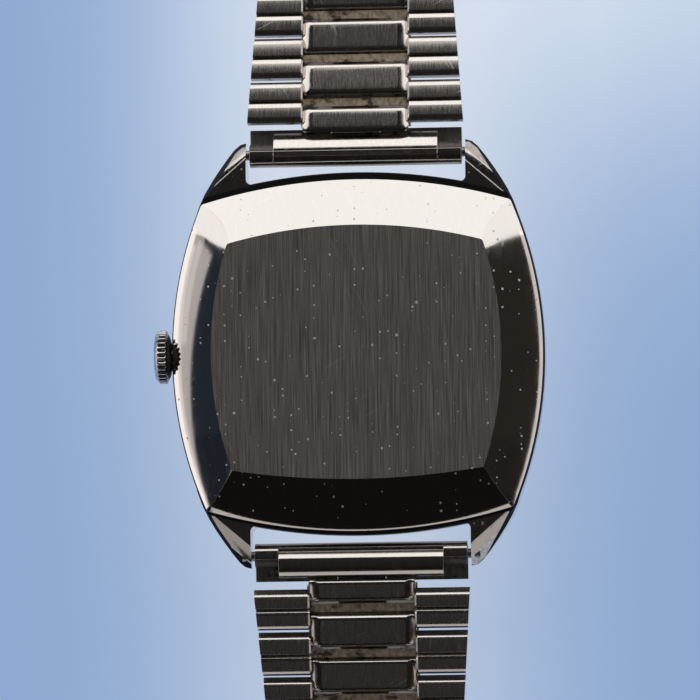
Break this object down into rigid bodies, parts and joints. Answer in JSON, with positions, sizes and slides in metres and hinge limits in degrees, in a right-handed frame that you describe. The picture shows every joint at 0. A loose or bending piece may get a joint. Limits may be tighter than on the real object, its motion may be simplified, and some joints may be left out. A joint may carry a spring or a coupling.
{
  "type": "tonneau wristwatch",
  "caption": "Cushion-shaped tonneau wristwatch lying face down on an opened metal link bracelet, with a hand-wound movement, crown and fold-over clasp.",
  "frame": {"origin": "centre of the crystal's flat face, on which the watch lies", "axes": "+Z out of the case back, +Y towards twelve o'clock, crown towards -X"},
  "size_m": [0.0321, 0.1595, 0.0084],
  "materials": {
    "case_steel": "polished steel with fine scratches; brushed flat middle on the back",
    "bracelet_steel": "lengthwise brushed faces, polished bevels, worn",
    "rubber_gasket": "matt",
    "crystal_glass": "clear, flat",
    "dial_face": "satin silvered",
    "bright_metal": "polished",
    "movement_plate": "nickel plated, grained",
    "movement_brass": "circular grained",
    "movement_steel": "snailed and polished",
    "blued_steel": "tempered blue",
    "ruby": "translucent red jewel"
  },
  "bodies": {
    "case": {"case_middle": "case_steel", "case_back": "case_steel", "back_gasket": "rubber_gasket", "crystal": "crystal_glass", "dial_ring": "bright_metal", "dial": "dial_face", "hour_markers": "bright_metal", "crown_tube": "case_steel", "movement_ring": "bright_metal", "main_plate": "movement_plate", "barrel_bridge": "movement_plate", "train_bridge": "movement_plate", "pallet_cock": "movement_plate", "balance_cock": "movement_plate", "movement_screws": "blued_steel", "jewels": "ruby", "spring_bars": "case_steel"},
    "winding_pinion": {"winding_pinion": "movement_steel"},
    "crown": {"crown": "case_steel", "winding_stem": "case_steel"},
    "crown_wheel": {"crown_wheel": "movement_steel"},
    "ratchet": {"ratchet_wheel": "movement_steel"},
    "click": {"click": "movement_steel"},
    "barrel": {"mainspring_barrel": "movement_brass", "mainspring": "blued_steel"},
    "center": {"center_wheel": "movement_brass", "cannon_pinion": "movement_steel", "minute_hand": "bright_metal"},
    "minute_wheel": {"minute_wheel": "movement_brass"},
    "hour": {"hour_wheel": "movement_brass", "hour_hand": "bright_metal"},
    "third": {"third_wheel": "movement_brass"},
    "fourth": {"fourth_wheel": "movement_brass", "seconds_hand": "bright_metal"},
    "escape": {"escape_wheel": "movement_brass"},
    "pallet": {"pallet_fork": "movement_steel"},
    "balance": {"balance_wheel": "movement_brass", "hairspring": "blued_steel"},
    "end_piece_12": {"end_piece_12": "bracelet_steel"},
    "link_12_1": {"link_12_1": "bracelet_steel"},
    "link_12_2": {"link_12_2": "bracelet_steel"},
    "link_12_3": {"link_12_3": "bracelet_steel"},
    "link_12_4": {"link_12_4": "bracelet_steel"},
    "link_12_5": {"link_12_5": "bracelet_steel"},
    "link_12_6": {"link_12_6": "bracelet_steel"},
    "link_12_7": {"link_12_7": "bracelet_steel"},
    "link_12_8": {"link_12_8": "bracelet_steel"},
    "clasp_catch": {"clasp_catch": "bracelet_steel"},
    "end_piece_6": {"end_piece_6": "bracelet_steel"},
    "link_6_1": {"link_6_1": "bracelet_steel"},
    "link_6_2": {"link_6_2": "bracelet_steel"},
    "link_6_3": {"link_6_3": "bracelet_steel"},
    "link_6_4": {"link_6_4": "bracelet_steel"},
    "link_6_5": {"link_6_5": "bracelet_steel"},
    "link_6_6": {"link_6_6": "bracelet_steel"},
    "link_6_7": {"link_6_7": "bracelet_steel"},
    "link_6_8": {"link_6_8": "bracelet_steel"},
    "clasp_cover": {"clasp_cover": "bracelet_steel"},
    "clasp_long_blade": {"clasp_long_blade": "bracelet_steel"},
    "clasp_short_blade": {"clasp_short_blade": "bracelet_steel"}
  },
  "joints": [
    {"name": "crown_turn", "type": "hinge", "parent": "case", "child": "winding_pinion", "pos_m": [-0.0096, 0, 0.00445], "axis": [1, 0, 0], "continuous": true},
    {"name": "crown_pull", "type": "slide", "parent": "winding_pinion", "child": "crown", "axis": [-1, 0, 0], "range_m": [0, 0.001]},
    {"name": "crown_wheel_turn", "type": "hinge", "parent": "case", "child": "crown_wheel", "pos_m": [-0.0076, 0, 0.007], "axis": [0, 0, 1], "continuous": true},
    {"name": "ratchet_turn", "type": "hinge", "parent": "case", "child": "ratchet", "pos_m": [-0.00088, 0.00496, 0.007], "axis": [0, 0, 1], "continuous": true},
    {"name": "click_lift", "type": "hinge", "parent": "case", "child": "click", "pos_m": [0.0037, 0.00817, 0.007], "axis": [0, 0, -1], "range_deg": [0, 10]},
    {"name": "hands_turn", "type": "hinge", "parent": "case", "child": "center", "pos_m": [0, 0, 0.005], "axis": [0, 0, 1], "continuous": true},
    {"name": "barrel_turn", "type": "hinge", "parent": "case", "child": "barrel", "pos_m": [-0.00088, 0.00496, 0.005], "axis": [0, 0, 1], "continuous": true},
    {"name": "minute_wheel_turn", "type": "hinge", "parent": "case", "child": "minute_wheel", "pos_m": [0.00184, 0.00154, 0.0033], "axis": [0, 0, 1], "continuous": true},
    {"name": "hour_turn", "type": "hinge", "parent": "case", "child": "hour", "pos_m": [0, 0, 0.0033], "axis": [0, 0, 1], "continuous": true},
    {"name": "third_turn", "type": "hinge", "parent": "case", "child": "third", "pos_m": [0.00291, -0.00344, 0.005], "axis": [0, 0, 1], "continuous": true},
    {"name": "seconds_turn", "type": "hinge", "parent": "case", "child": "fourth", "pos_m": [0, -0.0052, 0.005], "axis": [0, 0, 1], "continuous": true},
    {"name": "escape_turn", "type": "hinge", "parent": "case", "child": "escape", "pos_m": [-0.00085, -0.00776, 0.005], "axis": [0, 0, 1], "continuous": true},
    {"name": "pallet_rock", "type": "hinge", "parent": "case", "child": "pallet", "pos_m": [-0.00289, -0.0067, 0.005], "axis": [0, 0, 1], "range_deg": [-5, 5]},
    {"name": "balance_swing", "type": "hinge", "parent": "case", "child": "balance", "pos_m": [-0.0052, -0.0055, 0.005], "axis": [0, 0, 1], "range_deg": [-270, 270]},
    {"name": "end_piece_12_pivot", "type": "hinge", "parent": "case", "child": "end_piece_12", "pos_m": [0, 0.01645, 0.0046], "axis": [1, 0, 0], "range_deg": [-12, 20]},
    {"name": "link_12_1_bend", "type": "hinge", "parent": "end_piece_12", "child": "link_12_1", "pos_m": [0, 0.01873, 0.00428], "axis": [1, 0, 0], "range_deg": [-2, 23]},
    {"name": "link_12_2_bend", "type": "hinge", "parent": "link_12_1", "child": "link_12_2", "pos_m": [0, 0.02245, 0.00328], "axis": [1, 0, 0], "range_deg": [-7, 18]},
    {"name": "link_12_3_bend", "type": "hinge", "parent": "link_12_2", "child": "link_12_3", "pos_m": [0, 0.02613, 0.00216], "axis": [1, 0, 0], "range_deg": [-13, 12]},
    {"name": "link_12_4_bend", "type": "hinge", "parent": "link_12_3", "child": "link_12_4", "pos_m": [0, 0.02988, 0.00129], "axis": [1, 0, 0], "range_deg": [-16.16, 8.84]},
    {"name": "link_12_5_bend", "type": "hinge", "parent": "link_12_4", "child": "link_12_5", "pos_m": [0, 0.03371, 0.0009], "axis": [1, 0, 0], "range_deg": [-14.84, 10.16]},
    {"name": "link_12_6_bend", "type": "hinge", "parent": "link_12_5", "child": "link_12_6", "pos_m": [0, 0.03756, 0.0009], "axis": [1, 0, 0], "range_deg": [-9, 16]},
    {"name": "link_12_7_bend", "type": "hinge", "parent": "link_12_6", "child": "link_12_7", "pos_m": [0, 0.04141, 0.0009], "axis": [1, 0, 0], "range_deg": [-9, 16]},
    {"name": "link_12_8_bend", "type": "hinge", "parent": "link_12_7", "child": "link_12_8", "pos_m": [0, 0.04911, 0.0009], "axis": [1, 0, 0], "range_deg": [-9, 16]},
    {"name": "clasp_catch_bend", "type": "hinge", "parent": "link_12_8", "child": "clasp_catch", "pos_m": [0, 0.05681, 0.0009], "axis": [1, 0, 0], "range_deg": [-9, 16]},
    {"name": "end_piece_6_pivot", "type": "hinge", "parent": "case", "child": "end_piece_6", "pos_m": [0, -0.01645, 0.0046], "axis": [1, 0, 0], "range_deg": [-20, 12]},
    {"name": "link_6_1_bend", "type": "hinge", "parent": "end_piece_6", "child": "link_6_1", "pos_m": [0, -0.01873, 0.00428], "axis": [1, 0, 0], "range_deg": [-23, 2]},
    {"name": "link_6_2_bend", "type": "hinge", "parent": "link_6_1", "child": "link_6_2", "pos_m": [0, -0.02245, 0.00328], "axis": [1, 0, 0], "range_deg": [-18, 7]},
    {"name": "link_6_3_bend", "type": "hinge", "parent": "link_6_2", "child": "link_6_3", "pos_m": [0, -0.02613, 0.00216], "axis": [1, 0, 0], "range_deg": [-12, 13]},
    {"name": "link_6_4_bend", "type": "hinge", "parent": "link_6_3", "child": "link_6_4", "pos_m": [0, -0.02988, 0.00129], "axis": [1, 0, 0], "range_deg": [-8.84, 16.16]},
    {"name": "link_6_5_bend", "type": "hinge", "parent": "link_6_4", "child": "link_6_5", "pos_m": [0, -0.03371, 0.0009], "axis": [1, 0, 0], "range_deg": [-10.16, 14.84]},
    {"name": "link_6_6_bend", "type": "hinge", "parent": "link_6_5", "child": "link_6_6", "pos_m": [0, -0.04141, 0.0009], "axis": [1, 0, 0], "range_deg": [-16, 9]},
    {"name": "link_6_7_bend", "type": "hinge", "parent": "link_6_6", "child": "link_6_7", "pos_m": [0, -0.04911, 0.0009], "axis": [1, 0, 0], "range_deg": [-16, 9]},
    {"name": "link_6_8_bend", "type": "hinge", "parent": "link_6_7", "child": "link_6_8", "pos_m": [0, -0.05681, 0.0009], "axis": [1, 0, 0], "range_deg": [-16, 9]},
    {"name": "clasp_cover_bend", "type": "hinge", "parent": "link_6_8", "child": "clasp_cover", "pos_m": [0, -0.06451, 0.0009], "axis": [1, 0, 0], "range_deg": [-16, 9]},
    {"name": "long_blade_fold", "type": "hinge", "parent": "clasp_cover", "child": "clasp_long_blade", "pos_m": [0, -0.09631, 0.0011], "axis": [1, 0, 0], "range_deg": [0, 150]},
    {"name": "short_blade_fold", "type": "hinge", "parent": "clasp_long_blade", "child": "clasp_short_blade", "pos_m": [0, -0.07101, 0.00195], "axis": [-1, 0, 0], "range_deg": [0, 160]}
  ],
  "couplings": [
    {"joint": "crown_wheel_turn", "follows": "crown_turn", "ratio": 0.5},
    {"joint": "ratchet_turn", "follows": "crown_turn", "ratio": -0.36364},
    {"joint": "barrel_turn", "follows": "hands_turn", "ratio": -0.16667},
    {"joint": "minute_wheel_turn", "follows": "hands_turn", "ratio": -0.33333},
    {"joint": "hour_turn", "follows": "hands_turn", "ratio": 0.083333},
    {"joint": "third_turn", "follows": "hands_turn", "ratio": -8},
    {"joint": "seconds_turn", "follows": "hands_turn", "ratio": 60},
    {"joint": "escape_turn", "follows": "hands_turn", "ratio": -600}
  ]
}
